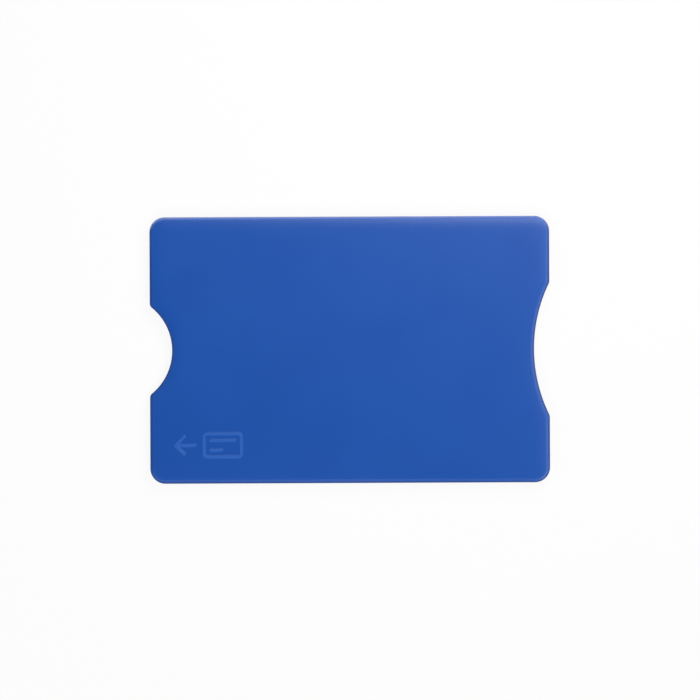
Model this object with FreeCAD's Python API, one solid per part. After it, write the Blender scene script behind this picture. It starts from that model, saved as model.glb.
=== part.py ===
import FreeCAD, Part
import os
from math import sqrt

from FreeCAD import Vector

os.makedirs("parts", exist_ok=True)

# A hard sleeve for one bank card, lying on its back. All sizes are in millimetres.
# The origin is the middle of the back face: +X points out of the mouth, +Z out of the front.

# The bank card that the sleeve holds
card_length = 85.60
card_width = 53.98
card_thickness = 0.76
card_embossing = 0.46

# The slot around the card
side_clearance = 0.41
thickness_clearance = 0.08
slot_corner_radius = 1.5
card_setback = 2.4  # from the mouth edge in to a card that is pushed home

# The front shell, with its rails and end stops, and the back cover
shell_wall = 1.2
rail_width = 2.6
end_wall = 2.0
corner_radius = 3.4
edge_radius = 1.0
edge_share = 0.9  # the most of the wall that the round edge may take

# The shielding laminate stuck to the inside of each wall
adhesive_thickness = 0.05
foil_thickness = 0.05
film_thickness = 0.05
laminate_margin = 0.6  # from the rails and the end stops
laminate_setback = 1.5  # from the mouth and the notches
laminate_corner_radius = 2.0

# The deep notch in the closed end, where a thumb pushes the card out
push_notch_radius = 12.5
push_notch_depth = 5.0
push_lip_radius = 0.3  # on the flat face, inside the round edge

# The shallow notch in the mouth, where two fingers pull the card out
pull_notch_radius = 33.9
pull_notch_depth = 3.5
pull_lip_radius = 0.8  # on the flat face, inside the round edge

# The pins on the rails that place the back cover for welding
pin_radius = 0.6
pin_height = 0.5
pin_clearance = 0.05
pin_setback = 7.0  # from each end of the sleeve

# The low bumps on the rails that keep the card from sliding out
bump_radius = 2.5
bump_height = 0.25
bump_setback = 9.0  # from the mouth edge

# The raised mark on the front: an arrow and a card, for the way in
mark_height = 0.15
mark_stroke = 0.85
mark_from_end = 13.1
mark_from_side = 8.6
mark_card_length = 9.2
mark_card_width = 6.0
mark_card_radius = 1.1
mark_line_inset = 1.9  # from the edges of the drawn card to its lines
mark_line_length = 2.4
mark_gap = 1.2
mark_arrow_length = 5.2
mark_arrow_head = 1.9

# How far a cutting or joining shape runs past the face that it crosses
overrun = 0.5

# Sizes that follow from those
slot_width = card_width + 2 * side_clearance
slot_gap = card_thickness + card_embossing + thickness_clearance
laminate_thickness = adhesive_thickness + foil_thickness + film_thickness
sleeve_thickness = 2 * (shell_wall + laminate_thickness) + slot_gap
half_length = (end_wall + card_length + card_setback) / 2
half_width = slot_width / 2 + rail_width
push_centre = push_notch_depth - push_notch_radius - half_length
pull_centre = half_length - pull_notch_depth + pull_notch_radius
edge_round = min(edge_radius, edge_share * shell_wall)


def point(x, y):
    return Vector(x, y, 0)


def line(start, end):
    return Part.LineSegment(start, end).toShape()


def arc(centre, start, end):
    """An arc of under half a circle about a centre, from a start point to an end point."""
    middle = (start - centre) + (end - centre)
    middle.normalize()
    return Part.Arc(start, centre + middle * (start - centre).Length, end).toShape()


def face(edges):
    return Part.Face(Part.Wire(edges))


def disc(x, y, radius):
    return face([Part.Circle(point(x, y), Vector(0, 0, 1), radius).toShape()])


def rounded_rectangle(x0, x1, y0, y1, radius):
    """A rectangle with round corners, or with sharp ones where no radius is left."""
    a, b, c, d = point(x0, y0), point(x1, y0), point(x1, y1), point(x0, y1)
    if radius <= 0:
        return face([line(a, b), line(b, c), line(c, d), line(d, a)])
    across = point(radius, 0)
    up = point(0, radius)
    return face([
        line(a + across, b - across),
        arc(b - across + up, b - across, b + up),
        line(b + up, c - up),
        arc(c - across - up, c - up, c - across),
        line(c - across, d + across),
        arc(d + across - up, d + across, d - up),
        line(d - up, a + up),
        arc(a + across + up, a + up, a + across),
    ])


def prism(flat, low, high):
    """The solid that a flat shape sweeps between two heights."""
    solid = flat.extrude(Vector(0, 0, high - low))
    solid.translate(Vector(0, 0, low))
    return solid


def front_of(shape):
    """The mirror image of a shape, in the front half of the sleeve."""
    return shape.mirror(Vector(0, 0, sleeve_thickness / 2), Vector(0, 0, 1))


def notched_end(side, centre_x, notch_radius, lip_radius):
    """The edges of one end, anticlockwise: side 1 is the mouth, side -1 the closed end.
    A lip arc leads from the straight end into the notch and another one out of it."""
    lip = lip_radius + edge_round
    end_x = side * half_length
    lip_x = end_x - side * lip
    lip_y = side * sqrt((notch_radius + lip) ** 2 - (lip_x - centre_x) ** 2)
    corner_y = side * (half_width - corner_radius)
    notch = point(centre_x, 0)
    first_lip = point(lip_x, -lip_y)
    last_lip = point(lip_x, lip_y)
    share = notch_radius / (notch_radius + lip)
    notch_start = notch + (first_lip - notch) * share
    notch_end = notch + (last_lip - notch) * share
    return [
        line(point(end_x, -corner_y), point(end_x, -lip_y)),
        arc(first_lip, point(end_x, -lip_y), notch_start),
        arc(notch, notch_start, notch_end),
        arc(last_lip, notch_end, point(end_x, lip_y)),
        line(point(end_x, lip_y), point(end_x, corner_y)),
    ]


def sleeve_outline():
    """The outline that both walls share, with its round corners and two notches."""
    x = half_length - corner_radius
    y = half_width - corner_radius
    return face(
        [line(point(-x, -half_width), point(x, -half_width))]
        + [arc(point(x, -y), point(x, -half_width), point(half_length, -y))]
        + notched_end(1, pull_centre, pull_notch_radius, pull_lip_radius)
        + [arc(point(x, y), point(half_length, y), point(x, half_width))]
        + [line(point(x, half_width), point(-x, half_width))]
        + [arc(point(-x, y), point(-x, half_width), point(-half_length, y))]
        + notched_end(-1, push_centre, push_notch_radius, push_lip_radius)
        + [arc(point(-x, -y), point(-half_length, -y), point(-x, -half_width))]
    )


def card_slot():
    """The slot in plan: closed by the end stops, open past the mouth, drawn in at the bumps."""
    past_mouth = half_length + slot_corner_radius + overrun
    side = slot_width / 2
    slot = rounded_rectangle(end_wall - half_length, past_mouth, -side, side, slot_corner_radius)
    bump_y = side - bump_height + bump_radius
    bumps = [disc(half_length - bump_setback, y, bump_radius) for y in (-bump_y, bump_y)]
    return slot.cut(bumps)


def wall():
    """The back wall of the sleeve, with its outer edge rounded all round."""
    plate = prism(sleeve_outline(), 0, shell_wall)
    outer_edges = [edge for edge in plate.Edges if edge.BoundBox.ZMax < shell_wall / 2]
    return plate.makeFillet(edge_round, outer_edges)


def rails():
    """The two side rails, each with its end stop, between the walls."""
    rim = sleeve_outline().cut(card_slot())
    return prism(rim, shell_wall, sleeve_thickness - shell_wall).Solids


def pins(clearance):
    """The pins that reach from the rails into the back cover, or with a clearance their sockets."""
    x = half_length - pin_setback
    y = half_width - rail_width / 2
    low = shell_wall - pin_height - clearance
    return [
        prism(disc(side_x, side_y, pin_radius + clearance), low, shell_wall + overrun)
        for side_x in (-x, x)
        for side_y in (-y, y)
    ]


def bar(start, end):
    """One stroke of the mark, with round ends."""
    half = mark_stroke / 2
    along = end - start
    along.normalize()
    aside = point(-along.y, along.x) * half
    return face([
        line(start - aside, end - aside),
        Part.Arc(end - aside, end + along * half, end + aside).toShape(),
        line(end + aside, start + aside),
        Part.Arc(start + aside, start - along * half, start - aside).toShape(),
    ])


def mark():
    """The raised arrow and card, in the corner beside the push notch."""
    mark_length = mark_arrow_length + mark_gap + mark_card_length
    left = mark_from_end - half_length - mark_length / 2
    right = left + mark_length
    middle = mark_from_side - half_width
    card_left = right - mark_card_length
    low = middle - mark_card_width / 2
    high = middle + mark_card_width / 2
    card = rounded_rectangle(card_left, right, low, high, mark_card_radius)
    window = rounded_rectangle(
        card_left + mark_stroke, right - mark_stroke, low + mark_stroke, high - mark_stroke,
        mark_card_radius - mark_stroke)
    long_line = point(card_left + mark_line_inset, high - mark_line_inset)
    long_line_end = point(right - mark_line_inset, high - mark_line_inset)
    short_line = point(card_left + mark_line_inset, low + mark_line_inset)
    tip = point(left + mark_stroke / 2, middle)
    strokes = [
        card.cut(window),
        bar(long_line, long_line_end),
        bar(short_line, short_line + point(mark_line_length, 0)),
        bar(tip, tip + point(mark_arrow_length - mark_stroke, 0)),
        bar(tip, tip + point(mark_arrow_head, mark_arrow_head)),
        bar(tip, tip + point(mark_arrow_head, -mark_arrow_head)),
    ]
    return [
        prism(stroke, sleeve_thickness - overrun, sleeve_thickness + mark_height)
        for stroke in strokes
    ]


def laminate():
    """The sheets on each wall in plan, cut back from the rails, the mouth and the notches."""
    side = slot_width / 2 - laminate_margin
    inner_end = end_wall - half_length + laminate_margin
    mouth_end = half_length - laminate_setback
    sheet = rounded_rectangle(inner_end, mouth_end, -side, side, laminate_corner_radius)
    return sheet.cut([
        disc(push_centre, 0, push_notch_radius + laminate_setback),
        disc(pull_centre, 0, pull_notch_radius + laminate_setback),
    ])


def save(shape, node):
    solid = shape.removeSplitter().Solids[0]
    print(node, "valid" if solid.isValid() else "broken", round(solid.Volume, 2), "mm3")
    solid.exportStep("parts/" + node + ".step")


# The two mouldings
save(wall().cut(pins(pin_clearance)), "back_cover")
save(front_of(wall()).fuse(rails() + pins(0) + mark()), "front_shell")

# The laminate on each wall, layer by layer towards the slot
level = shell_wall
for layer, thickness in (
    ("adhesive", adhesive_thickness),
    ("shield_foil", foil_thickness),
    ("slip_film", film_thickness),
):
    sheet = prism(laminate(), level, level + thickness)
    save(sheet, "back_" + layer)
    save(front_of(sheet), "front_" + layer)
    level = level + thickness
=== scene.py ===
from math import atan2, cos, hypot, pi, radians, sin, sqrt

import bmesh
import bpy
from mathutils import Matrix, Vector


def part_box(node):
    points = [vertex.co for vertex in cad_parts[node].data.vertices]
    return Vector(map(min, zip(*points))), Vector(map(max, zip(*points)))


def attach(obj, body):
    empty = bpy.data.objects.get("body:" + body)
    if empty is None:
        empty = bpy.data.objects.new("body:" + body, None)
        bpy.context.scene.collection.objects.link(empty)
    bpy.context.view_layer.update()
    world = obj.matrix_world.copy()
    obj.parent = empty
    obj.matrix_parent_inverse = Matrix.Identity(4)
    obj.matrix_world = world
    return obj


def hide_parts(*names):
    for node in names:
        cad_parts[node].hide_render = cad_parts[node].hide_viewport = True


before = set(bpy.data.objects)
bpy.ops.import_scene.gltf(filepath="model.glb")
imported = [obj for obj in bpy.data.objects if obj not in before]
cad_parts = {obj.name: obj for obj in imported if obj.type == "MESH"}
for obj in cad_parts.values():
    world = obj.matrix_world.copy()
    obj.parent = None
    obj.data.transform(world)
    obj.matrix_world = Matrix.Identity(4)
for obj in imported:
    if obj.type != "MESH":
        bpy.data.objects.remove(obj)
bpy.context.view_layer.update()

# A hard sleeve for one bank card, lying on its back. Metres, in the frame of the solids:
# +X points out of the mouth, +Y up the picture and +Z out of the front face.
mm = 0.001

# Sizes that the frame gives; the front wall is as thick as the cover
cover_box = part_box("back_cover")
shell_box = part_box("front_shell")
half_length = cover_box[1].x
half_width = cover_box[1].y
seam_height = cover_box[1].z
slot_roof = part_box("front_adhesive")[1].z
front_face = slot_roof + seam_height
mark_height = shell_box[1].z - front_face

# The outline: corners, push notch in the closed end, pull notch in the mouth
corner_radius = 3.4 * mm
edge_radius = 1.0 * mm
push_radius = 12.5 * mm
push_depth = 5.0 * mm
push_lip = 1.3 * mm
pull_radius = 33.9 * mm
pull_depth = 3.5 * mm
pull_lip = 1.8 * mm
push_centre = push_depth - push_radius - half_length
pull_centre = half_length - pull_depth + pull_radius

# The slot, with the bumps that hold the card, and the pins of the weld
slot_half_width = 27.4 * mm
slot_corner_radius = 1.5 * mm
end_wall = 2.0 * mm
bump_radius = 2.5 * mm
bump_height = 0.25 * mm
bump_setback = 9.0 * mm
pin_radius = 0.6 * mm
pin_height = 0.5 * mm
pin_clearance = 0.05 * mm
pin_setback = 7.0 * mm
rail_width = half_width - slot_half_width

# The finish of the mouldings
seam_break = 0.15 * mm  # the small round on each moulding where they meet
mouth_ease = 0.2 * mm  # the round on the inner edge of the mouth and notches
shoulder_width = 4.5 * mm  # how far from its edge the flat face begins to fall
shoulder_drop = 0.06 * mm
brow_width = 2.6 * mm  # how far from the edge the fall grows steeper
brow_drop = 0.24 * mm

# The raised mark: an arrow that points to the closed end, and a card
mark_stroke = 0.85 * mm
mark_soft = 0.08 * mm  # how far the foot of each stroke spreads past its outline
mark_side = 0.28 * mm  # the width of the soft sides, up to the flat back
mark_margin = 0.5 * mm  # how far past the mark the face is divided finely
mark_card_low = Vector((-33.3 * mm, -24.4 * mm))
mark_card_high = Vector((-24.1 * mm, -18.4 * mm))
mark_card_radius = 1.1 * mm
mark_tip = Vector((-39.275 * mm, -21.4 * mm))
mark_shaft = 4.35 * mm
mark_head = 1.9 * mm
mark_line_inset = 1.9 * mm
mark_short_line = 2.4 * mm

# How finely the meshes are cut
corner_steps = 16
lip_steps = 8
push_steps = 36
pull_steps = 32
edge_steps = 10
seam_steps = 2
mouth_steps = 3
slot_corner_steps = 6
bump_sides = 96
pin_sides = 32
mark_cuts = 13
ruling_pitch = 1.0 * mm  # the squares that the flat faces are ruled into
crease_angle = radians(32)  # sharper edges stay crisp where the mouldings are shaded smooth
overrun = 1.0 * mm  # how far a tool runs past what it cuts
tiny = 0.001 * mm  # two places that are closer than this are one


# Working in edit mode

def select_only(piece):
    bpy.ops.object.select_all(action="DESELECT")
    piece.select_set(True)
    bpy.context.view_layer.objects.active = piece


def edit(piece):
    select_only(piece)
    bpy.ops.object.mode_set(mode="EDIT")
    bpy.ops.mesh.select_mode(type="VERT")


def leave():
    bpy.ops.object.mode_set(mode="OBJECT")


def pick(piece, kind, wanted):
    """Selects the edges or faces that a test wants."""
    bpy.ops.mesh.select_mode(type=kind)
    bpy.ops.mesh.select_all(action="DESELECT")
    mesh = bmesh.from_edit_mesh(piece.data)
    for element in {"EDGE": mesh.edges, "FACE": mesh.faces}[kind]:
        if wanted(element):
            element.select_set(True)
    mesh.select_flush_mode()
    bmesh.update_edit_mesh(piece.data)


def round_edges(piece, wanted, radius, steps):
    """Rounds the edges that a test wants."""
    pick(piece, "EDGE", wanted)
    bpy.ops.mesh.bevel(offset=radius, segments=steps, profile=0.5, affect="EDGES")


def level(element, height):
    """Whether every corner of an edge or face is at a height."""
    return all(abs(corner.co.z - height) < tiny for corner in element.verts)


def upright(edge):
    first, last = edge.verts
    return (first.co - last.co).xy.length < tiny


def new_piece(name):
    """Names the primitive just added and puts its place in its mesh."""
    bpy.ops.object.transform_apply(location=True, rotation=True, scale=True)
    piece = bpy.context.object
    piece.name = name
    piece.data.name = name
    return piece


def add_box(name, low, high):
    bpy.ops.object.select_all(action="DESELECT")
    bpy.ops.mesh.primitive_cube_add(size=1, location=(low + high) / 2, scale=high - low)
    return new_piece(name)


def add_rod(name, x, y, radius, low, high, sides):
    bpy.ops.object.select_all(action="DESELECT")
    bpy.ops.mesh.primitive_cylinder_add(
        vertices=sides, radius=radius, depth=high - low, location=(x, y, (low + high) / 2))
    return new_piece(name)


def combine(piece, tool, operation):
    """Cuts a tool away from a piece, or welds it on, and removes the tool."""
    select_only(piece)
    boolean = piece.modifiers.new("combine", "BOOLEAN")
    boolean.operation = operation
    boolean.solver = "EXACT"
    boolean.object = tool
    bpy.ops.object.modifier_apply(modifier=boolean.name)
    bpy.data.objects.remove(tool)


# The outline of both mouldings

def run(x, y):
    """Draws a straight edge from the last point."""
    bpy.ops.mesh.extrude_region_move(TRANSFORM_OT_translate={"value": (x, y, 0)})


def sweep(x, y, height, turn, steps):
    """Draws an arc about a centre from the last point; a positive turn is anticlockwise."""
    bpy.ops.mesh.spin(steps=steps, angle=-turn, center=(x, y, height), axis=(0, 0, 1))


def notched_end(side, centre, notch_radius, lip, height, steps):
    """Draws one end of the outline: side 1 is the mouth, side -1 the closed end."""
    lip_x = side * (half_length - lip)
    lip_y = side * sqrt((notch_radius + lip) ** 2 - (lip_x - centre) ** 2)
    lip_turn = atan2(abs(lip_y), abs(centre - lip_x))
    straight = side * (half_width - corner_radius) - lip_y
    run(0, straight)
    sweep(lip_x, -lip_y, height, lip_turn, lip_steps)
    sweep(centre, 0, height, -2 * lip_turn, steps)
    sweep(lip_x, lip_y, height, lip_turn, lip_steps)
    run(0, straight)


def outline_block(name, low, high):
    """A block with the outline of the sleeve between two heights."""
    x = half_length - corner_radius
    y = half_width - corner_radius
    bpy.ops.object.select_all(action="DESELECT")
    bpy.ops.mesh.primitive_plane_add(size=mm, location=(-x, -half_width, low))
    block = new_piece(name)
    edit(block)
    bpy.ops.mesh.select_all(action="SELECT")
    bpy.ops.mesh.merge(type="CENTER")
    run(2 * x, 0)
    sweep(x, -y, low, pi / 2, corner_steps)
    notched_end(1, pull_centre, pull_radius, pull_lip, low, pull_steps)
    sweep(x, y, low, pi / 2, corner_steps)
    run(-2 * x, 0)
    sweep(-x, y, low, pi / 2, corner_steps)
    notched_end(-1, push_centre, push_radius, push_lip, low, push_steps)
    sweep(-x, -y, low, pi / 2, corner_steps)
    bpy.ops.mesh.select_all(action="SELECT")
    bpy.ops.mesh.remove_doubles(threshold=tiny)
    bpy.ops.mesh.edge_face_add()
    bpy.ops.mesh.extrude_region_move(TRANSFORM_OT_translate={"value": (0, 0, high - low)})
    bpy.ops.mesh.select_all(action="SELECT")
    bpy.ops.mesh.normals_make_consistent(inside=False)
    leave()
    return block


def round_rim(piece, height, radius, steps):
    """Rounds the whole rim of a block at one height."""
    edit(piece)
    round_edges(piece, lambda edge: level(edge, height), radius, steps)
    leave()


# The surface of the flat faces

def outside_rounded_box(past_x, past_y, radius):
    """How far a point is outside a rounded box, from how far it is past the middles of its corners."""
    return hypot(max(past_x, 0), max(past_y, 0)) + min(max(past_x, past_y), 0) - radius


def inside_outline(x, y):
    """How far inside the outline a point is."""
    past_x = abs(x) - half_length + corner_radius
    past_y = abs(y) - half_width + corner_radius
    outside = outside_rounded_box(past_x, past_y, corner_radius)
    from_push = hypot(x - push_centre, y) - push_radius
    from_pull = hypot(x - pull_centre, y) - pull_radius
    return min(-outside, from_push, from_pull)


def rule_face(piece, height):
    """Rules the flat face at a height into squares, so that its surface can be shaped."""
    edit(piece)
    for axis, reach in ((Vector((1, 0, 0)), half_length), (Vector((0, 1, 0)), half_width)):
        lines = int(reach / ruling_pitch)
        for line in range(-lines, lines + 1):
            pick(piece, "FACE", lambda face: level(face, height))
            bpy.ops.mesh.bisect(plane_co=axis * (line * ruling_pitch), plane_no=axis, threshold=tiny)
    leave()


def ease_shoulder(piece, face_height, rim_height):
    """Lets a flat face fall very slightly towards its rounded edge."""
    inwards = 1 if rim_height > face_height else -1
    for corner in piece.data.vertices:
        share = (corner.co.z - rim_height) / (face_height - rim_height)
        if share > 0:
            inside = max(inside_outline(corner.co.x, corner.co.y), 0)
            fall = (
                shoulder_drop * max(1 - inside / shoulder_width, 0) ** 2
                + brow_drop * max(1 - inside / brow_width, 0) ** 2)
            corner.co.z += fall * share * inwards


# The raised mark

def from_bar(spot, start, end):
    """How far a spot is from the line between two points."""
    along = end - start
    share = (spot - start).dot(along) / along.dot(along)
    return (spot - start - along * min(max(share, 0), 1)).length


def inside_mark(spot):
    """How far inside a stroke of the mark a spot is."""
    half = mark_stroke / 2
    card_middle = (mark_card_low + mark_card_high) / 2
    card_half = (mark_card_high - mark_card_low) / 2
    past_x = abs(spot.x - card_middle.x) - card_half.x + mark_card_radius
    past_y = abs(spot.y - card_middle.y) - card_half.y + mark_card_radius
    outside = outside_rounded_box(past_x, past_y, mark_card_radius)
    long_line = Vector((mark_card_low.x + mark_line_inset, mark_card_high.y - mark_line_inset))
    long_line_end = Vector((mark_card_high.x - mark_line_inset, long_line.y))
    short_line = mark_card_low + Vector((mark_line_inset, mark_line_inset))
    nearest = min(
        abs(outside + half),
        from_bar(spot, long_line, long_line_end),
        from_bar(spot, short_line, short_line + Vector((mark_short_line, 0))),
        from_bar(spot, mark_tip, mark_tip + Vector((mark_shaft, 0))),
        from_bar(spot, mark_tip, mark_tip + Vector((mark_head, mark_head))),
        from_bar(spot, mark_tip, mark_tip + Vector((mark_head, -mark_head))),
    )
    return half - nearest


def press_mark(piece):
    """Raises the mark out of the front face, in strokes with a flat back and soft sides."""
    low = Vector((mark_tip.x - 2 * mark_margin, mark_card_low.y - mark_margin))
    high = mark_card_high + Vector((mark_margin, mark_margin))

    def beside_mark(spot):
        return low.x < spot.x < high.x and low.y < spot.y < high.y

    edit(piece)
    pick(piece, "FACE", lambda face: level(face, front_face) and beside_mark(face.calc_center_bounds()))
    bpy.ops.mesh.subdivide(number_cuts=mark_cuts)
    leave()
    for corner in piece.data.vertices:
        if abs(corner.co.z - front_face) < tiny and beside_mark(corner.co):
            climb = (inside_mark(corner.co.xy) + mark_soft) / mark_side
            climb = min(max(climb, 0), 1)
            corner.co.z += mark_height * climb ** 2 * (3 - 2 * climb)


# The two mouldings

def slot_tool():
    """The space of the card, with the two bumps left out of it."""
    low = Vector((end_wall - half_length, -slot_half_width, seam_height - overrun))
    high = Vector((half_length + overrun, slot_half_width, slot_roof))
    tool = add_box("slot_tool", low, high)

    def at_closed_end(edge):
        return upright(edge) and abs(edge.verts[0].co.x - low.x) < tiny

    edit(tool)
    round_edges(tool, at_closed_end, slot_corner_radius, slot_corner_steps)
    leave()
    bump_y = slot_half_width - bump_height + bump_radius
    for side in (-1, 1):
        bump = add_rod(
            "bump", half_length - bump_setback, side * bump_y, bump_radius,
            low.z - overrun, high.z + overrun, bump_sides)
        combine(tool, bump, "DIFFERENCE")
    return tool


def pin_places():
    x = half_length - pin_setback
    y = half_width - rail_width / 2
    return [(side_x * x, side_y * y) for side_x in (-1, 1) for side_y in (-1, 1)]


def weld_pin(x, y):
    tip = seam_height - pin_height
    pin = add_rod("weld_pin", x, y, pin_radius, tip, seam_height + overrun / 2, pin_sides)
    round_rim(pin, tip, seam_break, seam_steps)
    return pin


def ease_mouth(shell):
    """Rounds the inner edge of the front wall along the mouth and both notches."""

    def under_wall_end(edge):
        corners = [corner for face in edge.link_faces for corner in face.verts]
        return level(edge, slot_roof) and any(corner.co.z > slot_roof + tiny for corner in corners)

    edit(shell)
    round_edges(shell, under_wall_end, mouth_ease, mouth_steps)
    bpy.ops.mesh.select_all(action="SELECT")
    bpy.ops.mesh.remove_doubles(threshold=tiny)
    leave()


def finish_piece(piece, material, node):
    select_only(piece)
    bpy.ops.object.shade_smooth_by_angle(angle=crease_angle)
    piece.data.materials.clear()
    piece.data.materials.append(material)
    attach(piece, "root")
    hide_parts(node)


def front_moulding(material):
    """The front wall with its rails, end stops, bumps, pins and raised mark."""
    shell = outline_block("front_moulding", seam_height, front_face)
    round_rim(shell, front_face, edge_radius, edge_steps)
    round_rim(shell, seam_height, seam_break, seam_steps)
    combine(shell, slot_tool(), "DIFFERENCE")
    for x, y in pin_places():
        combine(shell, weld_pin(x, y), "UNION")
    ease_mouth(shell)
    rule_face(shell, front_face)
    press_mark(shell)
    ease_shoulder(shell, front_face, slot_roof)
    finish_piece(shell, material, "front_shell")


def back_moulding(material):
    """The flat cover that closes the back, with a socket for each pin."""
    cover = outline_block("back_moulding", 0, seam_height)
    round_rim(cover, 0, edge_radius, edge_steps)
    round_rim(cover, seam_height, seam_break, seam_steps)
    for x, y in pin_places():
        socket = add_rod(
            "socket_tool", x, y, pin_radius + pin_clearance,
            seam_height - pin_height - pin_clearance, seam_height + overrun, pin_sides)
        combine(cover, socket, "DIFFERENCE")
    rule_face(cover, 0)
    ease_shoulder(cover, 0, edge_radius)
    finish_piece(cover, material, "back_cover")


# Steps that the materials share

def new_material(name):
    material = bpy.data.materials.new(name)
    material.use_nodes = True
    tree = material.node_tree
    return material, tree, tree.nodes["Principled BSDF"]


def noise(tree, scale, detail):
    """A noise on the piece's own coordinates; the scale is in patches per metre."""
    place = tree.nodes.new("ShaderNodeTexCoord")
    texture = tree.nodes.new("ShaderNodeTexNoise")
    texture.inputs["Scale"].default_value = scale
    texture.inputs["Detail"].default_value = detail
    tree.links.new(place.outputs["Object"], texture.inputs["Vector"])
    return texture.outputs["Fac"]


def ramp(tree, value, start, stop, low, high):
    """Eases from a low to a high value while another value goes from start to stop."""
    ease = tree.nodes.new("ShaderNodeMapRange")
    ease.interpolation_type = "SMOOTHSTEP"
    ease.inputs["From Min"].default_value = start
    ease.inputs["From Max"].default_value = stop
    ease.inputs["To Min"].default_value = low
    ease.inputs["To Max"].default_value = high
    tree.links.new(value, ease.inputs["Value"])
    return ease.outputs["Result"]


def spread(tree, value, low, high):
    """Maps a noise, which lies mostly between 0.3 and 0.7, onto a range."""
    return ramp(tree, value, 0.3, 0.7, low, high)


def blend_values(tree, operation, first, last):
    """The product of two values, or the larger one."""
    blend = tree.nodes.new("ShaderNodeMath")
    blend.operation = operation
    tree.links.new(first, blend.inputs[0])
    tree.links.new(last, blend.inputs[1])
    return blend.outputs["Value"]


def highest(tree, first, last):
    return blend_values(tree, "MAXIMUM", first, last)


def product(tree, first, last):
    return blend_values(tree, "MULTIPLY", first, last)


def tint(tree, value, dark, light):
    """A colour between two, by a value; the dark one may come from another node."""
    mix = tree.nodes.new("ShaderNodeMix")
    mix.data_type = "RGBA"
    # The sockets for numbers and for colours share their names, so these go by their places
    share = mix.inputs[0]
    first_colour = mix.inputs[6]
    last_colour = mix.inputs[7]
    mixed_colour = mix.outputs[2]
    if isinstance(dark, bpy.types.NodeSocket):
        tree.links.new(dark, first_colour)
    else:
        first_colour.default_value = (*dark, 1)
    last_colour.default_value = (*light, 1)
    tree.links.new(value, share)
    return mixed_colour


def relief(tree, shader, height, depth, strength):
    bump = tree.nodes.new("ShaderNodeBump")
    bump.inputs["Strength"].default_value = strength
    bump.inputs["Distance"].default_value = depth
    tree.links.new(height, bump.inputs["Height"])
    tree.links.new(bump.outputs["Normal"], shader.inputs["Normal"])


# The finishes of the pieces

def satin_blue_plastic():
    """Opaque blue moulded plastic with a fine spark-eroded grain, duller on the mark, whose raised strokes
    are painted a paler blue as a painted highlight.
    """
    dark_blue = (0.0114, 0.081, 0.388)
    light_blue = (0.0128, 0.086, 0.400)
    # Painted highlight: this paler blue on the raised strokes stands in for the light that the strokes
    # catch
    mark_highlight_blue = (0.022, 0.118, 0.478)
    least_roughness = 0.38
    most_roughness = 0.42
    mark_roughness = 0.52
    material, tree, shader = new_material("satin_blue_plastic")
    flow = spread(tree, noise(tree, scale=70, detail=2), 0, 1)
    colour = tint(tree, flow, dark_blue, light_blue)
    place = tree.nodes.new("ShaderNodeTexCoord")
    split = tree.nodes.new("ShaderNodeSeparateXYZ")
    tree.links.new(place.outputs["Object"], split.inputs["Vector"])
    height = split.outputs["Z"]
    # Where the painted highlight goes: it fades in up the sides of the strokes and is full on their flat
    # backs
    raised = ramp(tree, height, front_face + 0.3 * mark_height, front_face + 0.9 * mark_height, 0, 1)
    tree.links.new(tint(tree, raised, colour, mark_highlight_blue), shader.inputs["Base Color"])
    grain = spread(tree, noise(tree, scale=2500, detail=2), least_roughness, most_roughness)
    dull = ramp(
        tree, height, front_face, front_face + 0.2 * mark_height, least_roughness, mark_roughness)
    tree.links.new(highest(tree, grain, dull), shader.inputs["Roughness"])
    relief(tree, shader, noise(tree, scale=5500, detail=2), depth=0.003 * mm, strength=0.6)
    shader.inputs["IOR"].default_value = 1.5
    return material


def rolled_foil():
    """Matte aluminium foil, with fine rolling lines along the sleeve and soft crinkles."""
    dark_metal = (0.76, 0.77, 0.78)
    light_metal = (0.81, 0.82, 0.83)
    material, tree, shader = new_material("rolled_foil")
    place = tree.nodes.new("ShaderNodeTexCoord")
    stretch = tree.nodes.new("ShaderNodeMapping")
    stretch.inputs["Scale"].default_value = (60, 4000, 60)  # patches per metre, narrow across the sleeve
    texture = tree.nodes.new("ShaderNodeTexNoise")
    texture.inputs["Scale"].default_value = 1
    texture.inputs["Detail"].default_value = 3
    tree.links.new(place.outputs["Object"], stretch.inputs["Vector"])
    tree.links.new(stretch.outputs["Vector"], texture.inputs["Vector"])
    rolling = texture.outputs["Fac"]
    lines = spread(tree, rolling, 0, 1)
    tree.links.new(tint(tree, lines, dark_metal, light_metal), shader.inputs["Base Color"])
    tree.links.new(spread(tree, rolling, 0.46, 0.54), shader.inputs["Roughness"])
    relief(tree, shader, noise(tree, scale=120, detail=3), depth=0.02 * mm, strength=0.5)
    shader.inputs["Metallic"].default_value = 1
    return material


def milky_adhesive():
    """Pressure-sensitive adhesive, slightly cloudy."""
    dark_cream = (0.66, 0.64, 0.55)
    light_cream = (0.76, 0.74, 0.67)
    material, tree, shader = new_material("milky_adhesive")
    cloud = spread(tree, noise(tree, scale=400, detail=4), 0, 1)
    grain = noise(tree, scale=1500, detail=2)
    tree.links.new(tint(tree, cloud, dark_cream, light_cream), shader.inputs["Base Color"])
    tree.links.new(spread(tree, grain, 0.45, 0.65), shader.inputs["Roughness"])
    relief(tree, shader, grain, depth=0.01 * mm, strength=0.4)
    return material


def clear_slip_film():
    """Thin clear film, glossy, with faint rubs from the card."""
    dark_clear = (0.88, 0.90, 0.91)
    light_clear = (0.95, 0.96, 0.97)
    material, tree, shader = new_material("clear_slip_film")
    rubs = noise(tree, scale=800, detail=4)
    tree.links.new(tint(tree, rubs, dark_clear, light_clear), shader.inputs["Base Color"])
    tree.links.new(spread(tree, rubs, 0.08, 0.2), shader.inputs["Roughness"])
    relief(tree, shader, rubs, depth=0.004 * mm, strength=0.3)
    shader.inputs["Alpha"].default_value = 0.25
    return material


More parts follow.
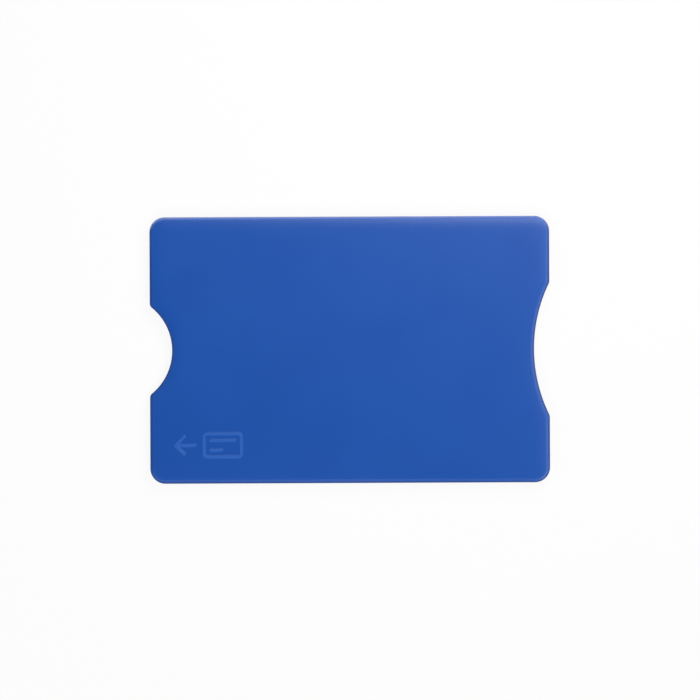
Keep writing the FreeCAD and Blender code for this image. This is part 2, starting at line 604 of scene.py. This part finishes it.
def dress_sheets():
    """Gives the sheets inside the sleeve their finishes."""
    for layer, material in (
        ("adhesive", milky_adhesive()),
        ("shield_foil", rolled_foil()),
        ("slip_film", clear_slip_film()),
    ):
        for side in ("front_", "back_"):
            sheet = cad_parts[side + layer]
            sheet.data.materials.clear()
            sheet.data.materials.append(material)


# Floor, light and camera

def seen_straight(tree, path):
    """1 where the camera looks, also through something clear, and 0 to all other light."""
    return highest(tree, path.outputs["Is Camera Ray"], path.outputs["Is Transmission Ray"])


def add_floor():
    """White to the camera, with the shadow of the sleeve, and grey to the light that it throws back."""
    floor_size = 6
    floor_gap = 0.02 * mm  # between the floor and the back of the sleeve
    seen_grey = 0.86
    bounce_grey = 0.3
    near = 0.1  # how far from the middle of the sleeve the floor begins to turn plain white
    far = 0.5
    near_glow = 0.9
    bpy.ops.object.select_all(action="DESELECT")
    bpy.ops.mesh.primitive_plane_add(size=floor_size, location=(0, 0, -floor_gap))
    floor = new_piece("floor")
    material = bpy.data.materials.new("white_floor")
    material.use_nodes = True
    tree = material.node_tree
    tree.nodes.clear()
    path = tree.nodes.new("ShaderNodeLightPath")
    seen = seen_straight(tree, path)
    place = tree.nodes.new("ShaderNodeTexCoord")
    length = tree.nodes.new("ShaderNodeVectorMath")
    length.operation = "LENGTH"
    tree.links.new(place.outputs["Object"], length.inputs[0])
    reach = length.outputs["Value"]
    paint = tree.nodes.new("ShaderNodeBsdfDiffuse")
    tree.links.new(ramp(tree, seen, 0, 1, bounce_grey, seen_grey), paint.inputs["Color"])
    glow = tree.nodes.new("ShaderNodeEmission")
    glow.inputs["Strength"].default_value = 1
    white = product(tree, seen, ramp(tree, reach, near, far, near_glow, 1))
    mirrored = product(tree, path.outputs["Is Glossy Ray"], ramp(tree, reach, near, far, 0, 1))
    mix = tree.nodes.new("ShaderNodeMixShader")
    tree.links.new(highest(tree, white, mirrored), mix.inputs[0])
    tree.links.new(paint.outputs["BSDF"], mix.inputs[1])
    tree.links.new(glow.outputs["Emission"], mix.inputs[2])
    output = tree.nodes.new("ShaderNodeOutputMaterial")
    tree.links.new(mix.outputs["Shader"], output.inputs["Surface"])
    floor.data.materials.append(material)


def add_world():
    """A white room for the camera, with a low white wall all round for reflections."""
    wall_fades = 0.03  # the sine of the angle above the floor
    wall_ends = 0.12
    world = bpy.data.worlds.new("white_room")
    bpy.context.scene.world = world
    world.use_nodes = True
    tree = world.node_tree
    background = tree.nodes["Background"]
    place = tree.nodes.new("ShaderNodeTexCoord")
    split = tree.nodes.new("ShaderNodeSeparateXYZ")
    tree.links.new(place.outputs["Generated"], split.inputs["Vector"])
    wall = ramp(tree, split.outputs["Z"], wall_fades, wall_ends, 1, 0)
    path = tree.nodes.new("ShaderNodeLightPath")
    mirrored = product(tree, path.outputs["Is Glossy Ray"], wall)
    tree.links.new(highest(tree, seen_straight(tree, path), mirrored), background.inputs["Strength"])
    background.inputs["Color"].default_value = (1, 1, 1, 1)


def add_lamp(name, width, height, power, place, aim):
    """A flat lamp at a place, which shines along an aim."""
    data = bpy.data.lights.new(name, "AREA")
    data.shape = "RECTANGLE"
    data.size = width
    data.size_y = height
    data.energy = power
    lamp = bpy.data.objects.new(name, data)
    lamp.location = place
    lamp.rotation_euler = aim.to_track_quat("-Z", "Y").to_euler()
    bpy.context.collection.objects.link(lamp)
    return lamp


def add_softbox(name, azimuth, elevation, distance, size, power, reflected=True):
    """A square lamp that faces the sleeve; azimuth 0 is off the mouth and 90 up the picture."""
    around = radians(azimuth)
    above = radians(elevation)
    place = Vector((cos(around) * cos(above), sin(around) * cos(above), sin(above))) * distance
    lamp = add_lamp(name, size, size, power, place, -place)
    lamp.visible_glossy = reflected
    # With this on, a lamp that isn't reflected would still add some gloss
    lamp.data.cycles.use_multiple_importance_sampling = reflected


def add_strip(name, side, low, high, glow):
    """A strip lamp along one side of the sleeve, between two heights, that shows only in reflections."""
    gap = 3.5 * mm
    overhang = 25 * mm
    length = 2 * (half_width * abs(side.x) + half_length * abs(side.y) + overhang)
    place = Vector((side.x * (half_length + gap), side.y * (half_width + gap), (low + high) / 2))
    power = glow * pi * length * (high - low)
    lamp = add_lamp(name, length, high - low, power, place, Vector((-side.x, -side.y, 0)))
    lamp.visible_camera = False
    lamp.visible_diffuse = False


def add_lights():
    """A key light and three fills for the faces, and a strip for the gleam along each edge."""
    add_softbox("key_softbox", azimuth=62, elevation=52, distance=0.26, size=0.14, power=0.34)
    add_softbox("near_fill", azimuth=270, elevation=60, distance=1.2, size=0.8, power=7.25, reflected=False)
    add_softbox("left_fill", azimuth=180, elevation=50, distance=1.2, size=0.6, power=3.1, reflected=False)
    add_softbox("mouth_fill", azimuth=0, elevation=60, distance=1.2, size=0.8, power=3.0, reflected=False)
    add_strip("top_strip", Vector((0, 1)), low=0, high=6 * mm, glow=3.6)
    add_strip("mouth_strip", Vector((1, 0)), low=4.3 * mm, high=11 * mm, glow=2.2)
    add_strip("near_strip", Vector((0, -1)), low=4.3 * mm, high=11 * mm, glow=1.25)
    add_strip("left_strip", Vector((-1, 0)), low=6.6 * mm, high=11 * mm, glow=0.42)


def add_camera():
    """Straight above the sleeve, as in the picture; the picture's sizes are in its pixels."""
    picture_width = 700
    sleeve_length = 399.7
    middle_off = Vector((-0.25, 0.2))  # the middle of the sleeve from the middle of the picture
    turn = radians(-0.24)
    pixels_per_metre = sleeve_length / (2 * half_length)
    data = bpy.data.cameras.new("camera")
    data.sensor_width = 36
    data.lens = 240
    data.clip_start = 0.01
    camera = bpy.data.objects.new("camera", data)
    distance = picture_width / pixels_per_metre * data.lens / data.sensor_width
    camera.location = (
        -middle_off.x / pixels_per_metre, -middle_off.y / pixels_per_metre,
        front_face - edge_radius + distance)
    camera.rotation_euler = (0, 0, turn)
    bpy.context.collection.objects.link(camera)
    bpy.context.scene.camera = camera


plastic = satin_blue_plastic()
back_moulding(plastic)
front_moulding(plastic)
dress_sheets()
add_floor()
add_world()
add_lights()
add_camera()
bpy.context.scene.view_settings.view_transform = "Standard"
